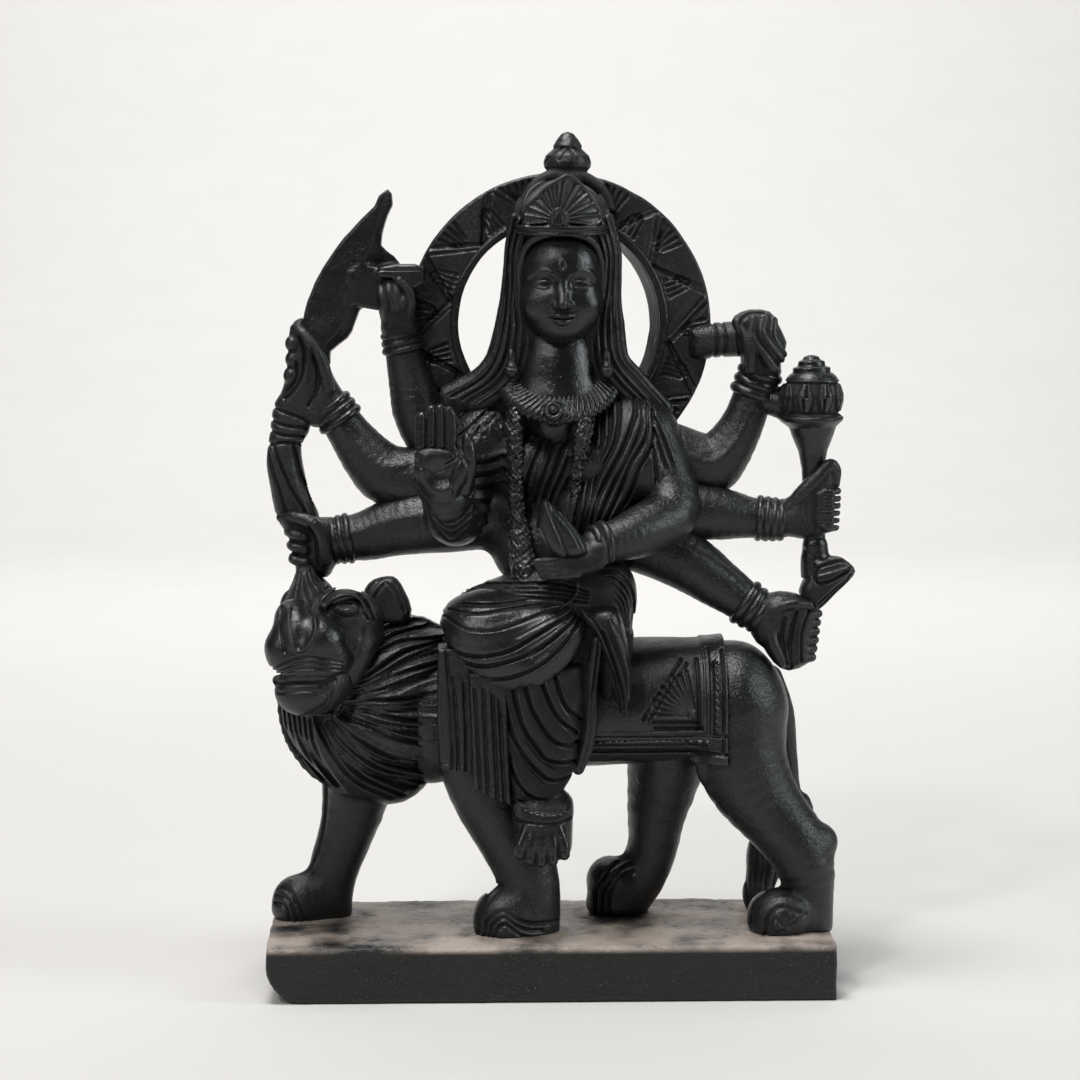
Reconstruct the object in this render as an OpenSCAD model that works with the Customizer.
// Carved black stone statuette: a many-armed goddess seated on a standing lion, on a plinth.
// Origin: centre of the plinth's underside. +X to the viewer's right, +Y to the back, +Z up. Millimetres.

/* [Plinth] */
// Width of the plinth, along X
base_w = 194; // [190:1:200]
// Depth of the plinth, along Y
base_d = 74; // [72:1:84]
// Height of the plinth
base_h = 19.5; // [18.5:0.5:20]
// Radius of the plinth's lower left edge
base_toe = 13; // [4:1:14]

/* [Halo] */
// Outer radius of the halo ring
halo_r = 53; // [51:0.5:54]
// Inner radius of the halo ring
halo_bore_r = 35; // [34:0.5:37]
// Thickness of the halo ring, along Y
halo_t = 9; // [7:0.5:11]
// Width of the raised rim round the halo's opening
halo_rim = 3; // [2:0.5:5]

/* [Figure] */
// Radius of the head across the cheeks
head_r = 15; // [14:0.5:16]
// Radius of an arm at its wrist
wrist_r = 5.8; // [5:0.2:6.4]
// Radius of a bangle's wire
bangle_r = 1.2; // [0.8:0.1:1.6]
// Radius of a finger
finger_r = 2.1; // [1.6:0.1:2.4]

/* [Lion] */
// Radius of the lion's barrel
barrel_r = 20; // [18:0.5:21]
// Thickness of the saddle cloth
cloth_t = 1.6; // [1:0.2:2.4]

/* [Hidden] */

stone = [0.08, 0.09, 0.09];
worn = [0.16, 0.17, 0.17];
facets = 16;
fine = 24;
halo_at = [4, 16, 228.2];
head_at = [4, -3, 241];
ground = base_h;

// Arm stations, each a centre and a radius, from the body outwards.
arm_sword_path = [[-28, 10, 186, 10], [-39, 10, 190, 9], [-50.5, 7, 223, wrist_r + 0.7]];
arm_bow_top_path = [[-24, 6, 180, 11], [-53, 6, 175, 9.6], [-71, 4, 196, wrist_r + 0.6]];
arm_bow_grip_path = [[-20, 4, 165, 12], [-36, 3, 161.5, 10.6], [-72, 1, 154, wrist_r + 1]];
arm_blessing_path = [[-25, 1, 188, 10], [-31, -5, 160, 8.4], [-34, -20, 167, wrist_r + 0.8]];
arm_conch_path = [[29, 8, 190, 10], [54, 8, 179, 9.6], [74, 5, 209, wrist_r + 1]];
arm_mace_path = [[26, 4, 168, 12], [42, 3, 165, 10.4], [78, 1, 161, wrist_r + 0.6]];
arm_lotus_path = [[26, 4, 156, 12], [48, 0, 147, 10.4], [75, -4, 130.5, wrist_r + 0.8]];
arm_lap_path = [[34, 3, 188, 10.5], [43, -7, 163, 10.2], [21, -23, 152, wrist_r + 0.8]];

// One stretch between two stations.
module stretch(a, b, n = facets) {
    hull() {
        translate([a[0], a[1], a[2]]) sphere(r = a[3], $fn = n);
        translate([b[0], b[1], b[2]]) sphere(r = b[3], $fn = n);
    }
}

// A chain of stretches through a list of stations.
module chain(path, n = facets)
    for (i = [0 : len(path) - 2]) stretch(path[i], path[i + 1], n);

// One closed egg shape.
module egg(at, size, n = fine)
    translate(at) scale(size) sphere(r = 1, $fn = n);

// What is drawn inside stays above the plinth's top face.
module on_plinth()
    intersection() {
        children();
        translate([-150, -60, ground]) cube([300, 120, 200]);
    }

// A wall of the given thickness whose outline is drawn in X and Z; its front face is at y.
module wall(y, t)
    translate([0, y + t, 0]) rotate([90, 0, 0]) linear_extrude(t) children();

// Rings square to the line from a to b, wrapped round the wrist.
module wrist_rings(path, count = 3, gap = 2.5) {
    a = path[1];
    b = path[2];
    v = [b[0] - a[0], b[1] - a[1], b[2] - a[2]];
    length = norm(v);
    for (i = [0 : count - 1]) {
        s = 1 - (2 + gap * i) / length;
        translate([a[0] + v[0] * s, a[1] + v[1] * s, a[2] + v[2] * s])
            rotate([0, acos(v[2] / length), atan2(v[1], v[0])])
                rotate_extrude($fn = fine)
                    translate([a[3] + (b[3] - a[3]) * s, 0]) circle(r = bangle_r, $fn = 8);
    }
}

// A closed fist with four fingers curled over it, along the direction spread.
module fist(at, r, spread, front = -1) {
    egg(at, [r, r * 0.95, r * 1.05], facets);
    for (i = [-1.5 : 1 : 1.5])
        translate(at + spread * i + [0, front * r * 0.7, 0]) sphere(r = finger_r, $fn = 12);
}

// ---- Plinth ----

// Its front outline, with a worn round at the lower left.
module plinth_outline()
    difference() {
        translate([-base_w / 2, 0]) square([base_w, base_h]);
        translate([-base_w / 2, 0]) difference() {
            translate([-1, -1]) square([base_toe + 1, base_toe + 1]);
            translate([base_toe, base_toe]) circle(r = base_toe, $fn = 48);
        }
    }

module plinth() color(stone) wall(-base_d / 2, base_d) plinth_outline();

// ---- Lion ----

barrel_at = [-34, 4, 97.5];
barrel_l = 98;

// A round bar along the lion's back, swollen by out.
module barrel(out = 0)
    translate(barrel_at) rotate([0, 90, 0]) cylinder(r = barrel_r + out, h = barrel_l, $fn = 64);

module lion_body() color(stone) {
    barrel();
    translate(barrel_at + [barrel_l, 0, 0]) sphere(r = barrel_r, $fn = 48);
}

module lion_mane() color(stone) hull() {
    egg([-62, 2, 96], [32, 26, 33]);
    egg([-44, 3, 112], [14, 15, 13], facets);
}

module lion_head() color(stone) union() {
    egg([-70, -13, 119], [20, 17, 19]);
    egg([-74, -20, 128], [13, 9, 8], facets);
}

module lion_muzzle() color(worn) hull() {
    egg([-89, -29, 116], [7.5, 7, 10], facets);
    egg([-77, -30, 115], [9, 7, 10], facets);
    egg([-84, -22, 126], [5, 6, 6], facets);
}

module lion_jaw() color(stone) egg([-80, -28, 103], [11.5, 8, 7.5], facets);

module lion_ears() color(stone) {
    egg([-55, -6, 134.5], [7.4, 4.5, 8.5], facets);
    egg([-87, -8, 131], [4.6, 4, 6], facets);
}

module lion_front_leg_far() color(stone) on_plinth() {
    chain([[-68, 14, 72, 12], [-71, 14, 52, 10.5], [-77, 14, 33, 9]]);
    egg([-86, 13, 25], [13, 9.5, 9.5], facets);
}

module lion_front_leg_near() color(stone) on_plinth() {
    chain([[-28, -8, 84, 14], [-20, -10, 62, 12], [-8, -13, 40, 11], [-7, -14, 27, 10]]);
    egg([-15, -17, 27], [11.5, 10, 11], facets);
}

module lion_rear_leg_far() color(stone) on_plinth() {
    chain([[44, 15, 84, 15], [41, 16, 60, 11.6], [36, 16, 34, 8.4]]);
    egg([27, 14, 27], [12, 9.5, 12], facets);
}

module lion_rear_leg_near() color(stone) on_plinth() {
    chain([[66, -4, 96, 20], [68, -8, 80, 17], [85, -12, 55, 12], [88, -13, 30, 9]]);
    egg([79, -17, 28], [13.5, 10, 12], facets);
}

module lion_tail() color(stone) on_plinth()
    chain([[80, 12, 103, 4.5], [85, 15, 88, 4], [88, 18, 66, 3.5], [84, 20, 44, 3.5], [76, 20, 27, 6]], 10);

// The cloth wraps the barrel, and ends in a straight hem low on each flank.
module cloth_shell(out, x0, x1, z0)
    difference() {
        intersection() {
            barrel(out);
            translate([x0, -40, z0]) cube([x1 - x0, 80, 80]);
        }
        barrel();
    }

module saddle_cloth() color(stone) cloth_shell(cloth_t, -38, 52, 89);

module saddle_border() color(worn) difference() {
    cloth_shell(cloth_t + 0.8, -38, 60, 80);
    translate([-45, -40, 89]) cube([97, 80, 80]);
}

// ---- Seated figure, robes ----

module robe_lap() color(stone) hull() {
    egg([-20, -16, 122], [17, 14, 13]);
    egg([12, -10, 126], [14, 14, 14]);
    egg([-2, -22, 112], [16, 9, 8], facets);
}

module robe_knee() color(worn) hull() {
    egg([-23, -22, 122], [13, 12, 11], facets);
    egg([8, -28, 121], [9, 6, 7], facets);
}

module robe_pleats() color(stone) wall(-26, 8)
    polygon([[-39, 112], [-39, 76], [-27, 74], [-26, 70], [-12, 67], [-10, 112]]);

module robe_fall() color(stone) hull() {
    egg([-4, -23, 104], [15, 9, 10], facets);
    egg([3, -25, 88], [8, 7, 12], facets);
    egg([-4, -27, 75], [12, 7, 9], facets);
}

module robe_hip() color(stone) hull() {
    egg([19, -4, 138], [11, 13, 12], facets);
    egg([20, -12, 118], [10, 11, 10], facets);
}

module hanging_foot() color(worn) hull() {
    egg([-3, -26, 66], [7, 6, 6], facets);
    egg([-3, -31, 52], [9.5, 5, 5.5], facets);
}

module crossed_foot() color(worn) hull() {
    egg([15, -27, 124], [5, 5, 5], facets);
    egg([24, -29, 106], [4.5, 4, 6], facets);
}

// ---- Seated figure, body ----

module torso() color(stone) {
    hull() {
        egg([-21, 4, 191], [12, 9, 9]);
        egg([28, 4, 191], [12, 9, 9]);
        egg([3, 3, 176], [24, 13, 14]);
    }
    hull() {
        egg([3, 3, 176], [24, 13, 14]);
        egg([3, 2, 146], [23, 14, 12]);
    }
}

module sash() color(worn) hull() {
    egg([30, 0, 194], [10, 10, 8], facets);
    egg([22, -6, 178], [9, 7, 10], facets);
    egg([8, -10, 160], [8, 5, 6], facets);
}

module garland() color(worn) {
    chain([[-4, -11, 199, 2.2], [-6, -13, 184, 2.6], [-5, -12, 166, 2.2], [-2, -14, 142, 2.6]], 10);
    chain([[17, -11, 199, 2.2], [18, -14, 184, 2.6], [15, -14, 163, 2.2]], 10);
}

module necklace() color(worn) translate([5, -1, 208]) rotate([28, 0, 0])
    rotate_extrude($fn = fine) translate([12.5, 0]) scale([1.2, 0.9]) circle(r = 2.6, $fn = 10);

module pendant() color(worn) translate([7, -13.5, 200]) rotate([75, 0, 0])
    cylinder(r = 3, h = 3, center = true);

module neck() color(stone) translate([4, -1, 198]) cylinder(r1 = 11, r2 = 8.5, h = 28);

module face() color(stone) hull() {
    egg(head_at, [head_r, 13, 17]);
    egg(head_at + [0, -6, -9], [9, 6, 7], facets);
}

module hair() color(stone) hull() {
    egg([5, 6, 247], [20, 14, 24]);
    egg([6, 8, 268], [13, 12, 13]);
}

module side_locks() color(stone) {
    chain([[-9.5, 2, 250, 5.5], [-12.5, 3, 226, 5.5], [-19, 3, 206, 6.5]]);
    chain([[17.5, 2, 250, 5], [19.5, 3, 228, 5], [28, 3, 205, 6.5]]);
}

module earrings() color(worn) {
    translate([-10, -6, 215]) sphere(r = 3, $fn = 20);
    translate([18, -6, 215]) sphere(r = 3, $fn = 20);
}

module crown_band() color(worn) translate([4, -1, 258]) rotate([8, 0, 0])
    rotate_extrude($fn = 32) translate([16.2, 0]) square([2, 4], center = true);

module crown_plate() color(worn) translate([4.2, -15.4, 260]) rotate([-8, 0, 0]) wall(-1.5, 3)
    polygon([[-11, 0], [-13.5, 4], [-12.5, 9], [-7.5, 14.5], [0.8, 20], [8, 15], [12.5, 9], [13.8, 4],
             [11, 0]]);

module crown_boss() color(worn) translate([3.7, -17, 265]) rotate([82, 0, 0])
    cylinder(r = 2.4, h = 2.4, $fn = 24);

// ---- Halo ----

module halo_ring() color(stone) translate(halo_at) rotate([90, 0, 0]) difference() {
    cylinder(r = halo_r, h = halo_t, center = true, $fn = 96);
    cylinder(r = halo_bore_r, h = halo_t + 2, center = true, $fn = 96);
}

// A raised band on the front face, round the opening.
module halo_rim() color(worn) translate(halo_at + [0, -halo_t / 2, 0]) rotate([90, 0, 0]) difference() {
    cylinder(r = halo_bore_r + halo_rim, h = 1, $fn = 96);
    translate([0, 0, -1]) cylinder(r = halo_bore_r, h = 3, $fn = 96);
}

module halo_finial() color(stone) translate([7, 15, 278]) rotate_extrude($fn = 32)
    polygon([[0, 0], [6.5, 0], [7, 3.4], [7.9, 5], [8.1, 6.6], [7, 9.4], [4.2, 13], [2.2, 16], [0.8, 17.4],
             [0, 17.4]]);

// ---- Arms ----

module arm_sword() color(stone) chain(arm_sword_path);
module arm_bow_top() color(stone) chain(arm_bow_top_path);
module arm_bow_grip() color(stone) chain(arm_bow_grip_path);
module arm_blessing() color(stone) chain(arm_blessing_path);
module arm_conch() color(stone) chain(arm_conch_path);
module arm_mace() color(stone) chain(arm_mace_path);
module arm_lotus() color(stone) chain(arm_lotus_path);
module arm_lap() color(stone) chain(arm_lap_path);

module bangles() color(worn) {
    wrist_rings(arm_sword_path);
    wrist_rings(arm_bow_top_path);
    wrist_rings(arm_bow_grip_path);
    wrist_rings(arm_conch_path);
    wrist_rings(arm_mace_path);
    wrist_rings(arm_lotus_path);
    wrist_rings(arm_lap_path, 2);
}

// ---- Hands ----

module hand_sword() color(stone) fist([-53, 4, 236], 7.6, [3, 0, 0.8]);

module hand_bow_top() color(stone) {
    chain([[-74, 3, 204, 5.2], [-80, 3, 213, 4.6], [-85, 3, 224, 3]]);
    for (i = [0 : 2]) stretch([-78 - i * 2, 0 - i, 205, 2.2], [-88 + i, -1, 215 + i * 3, 1.8], 8);
}

module hand_bow_grip() color(stone) {
    stretch([-77, 1, 153, 6], [-83, 0, 152.5, 6.8]);
    for (i = [0 : 3]) stretch([-80, -6, 147 + i * 3.2, 1.9], [-88, -3.5, 146 + i * 3.4, 1.7], 8);
}

module hand_blessing() color(worn) {
    egg([-36, -25, 176], [10.5, 5, 10.5], facets);
    for (i = [0 : 3]) stretch([-43 + i * 3.9, -26, 180, 2.2], [-42 + i * 3.7, -27.5, 198.5, 1.9], 8);
    stretch([-29, -26, 178, 2.8], [-26.5, -28, 189, 2], 8);
}

module hand_conch() color(stone) fist([74, 4, 222], 8.8, [0.8, 0, 3.4]);

module hand_mace() color(stone) {
    stretch([83, 0, 163, 6.4], [90, -1, 168, 6.6]);
    for (i = [0 : 3]) stretch([89, -6, 161 + i * 3.8, 1.9], [95.5, -3, 162 + i * 4.2, 1.9], 8);
}

module hand_lotus() color(stone) {
    hull() {
        egg([79, -5, 127], [6, 5, 6], facets);
        egg([87, -6, 117], [8, 4.5, 10], facets);
    }
    for (i = [0 : 3]) stretch([94, -6, 111 + i * 4, 2], [95, -9, 112 + i * 4, 1.8], 8);
}

module hand_lap() color(stone) {
    stretch([16, -27, 149.5, 5.4], [5, -30, 147, 4.6]);
    for (i = [0 : 3]) stretch([6, -32, 150 - i * 2.2, 1.9], [-4, -33, 148.5 - i * 1.8, 1.6], 8);
}

// ---- Attributes ----

module sword() color(worn) {
    translate([-49, 4, 245.4]) rotate([0, 8, 0]) cylinder(r1 = 7.2, r2 = 6, h = 4, center = true, $fn = 32);
    wall(2.5, 5)
        polygon([[-56, 275], [-54, 270], [-56.5, 262], [-57.5, 255], [-52, 250], [-58, 244], [-61, 238],
                 [-66.5, 231], [-69.5, 222.5], [-75, 221], [-80, 224.5], [-84, 232], [-80.5, 243],
                 [-72, 255.5], [-62, 266]]);
}

module bow() color(stone)
    chain([[-84, 4, 222, 3.4], [-90, 4, 206, 4.4], [-93, 4, 188, 5.4], [-91.5, 3, 168, 5.6], [-86, 2, 150, 5],
           [-83, 0, 136, 5.4]], 10);

module conch() color(stone) {
    translate([56, 12, 221]) rotate([0, 90, -24]) cylinder(r1 = 7, r2 = 5, h = 16, $fn = fine);
    translate([70, 5.5, 221]) sphere(r = 5.6, $fn = fine);
}

// The mace, with the bridge of stone left between its head and the wrist behind it.
module mace() color(worn) {
    translate([93.2, 0, 146]) rotate([0, -2.5, 0]) rotate_extrude($fn = 32)
        polygon([[0, 0], [4.2, 0], [3.8, 6], [4, 28], [4.8, 36], [8.5, 43], [10.2, 46.5], [9.8, 48.5],
                 [11.4, 53], [11.4, 58], [9.6, 62.5], [7.6, 64.5], [7.8, 66], [4.6, 69.6], [1.5, 72],
                 [0, 72.3]]);
    stretch([74, 5, 205, 4], [86, 3, 200, 3.6], 10);
}

module lotus_pod() color(worn) wall(-5, 9)
    polygon([[92, 146], [101.5, 146.5], [105, 142], [94, 129], [89, 134]]);

module lap_bud() color(worn) stretch([8, -32, 151, 4.6], [-2, -33, 168, 1.2]);

plinth();
lion_body();
lion_mane();
lion_head();
lion_muzzle();
lion_jaw();
lion_ears();
lion_front_leg_far();
lion_front_leg_near();
lion_rear_leg_far();
lion_rear_leg_near();
lion_tail();
saddle_cloth();
saddle_border();
robe_lap();
robe_knee();
robe_pleats();
robe_fall();
robe_hip();
hanging_foot();
crossed_foot();
torso();
sash();
garland();
necklace();
pendant();
neck();
face();
hair();
side_locks();
earrings();
crown_band();
crown_plate();
crown_boss();
halo_ring();
halo_rim();
halo_finial();
arm_sword();
arm_bow_top();
arm_bow_grip();
arm_blessing();
arm_conch();
arm_mace();
arm_lotus();
arm_lap();
hand_sword();
hand_bow_top();
hand_bow_grip();
hand_blessing();
hand_conch();
hand_mace();
hand_lotus();
hand_lap();
bangles();
sword();
bow();
conch();
mace();
lotus_pod();
lap_bud();
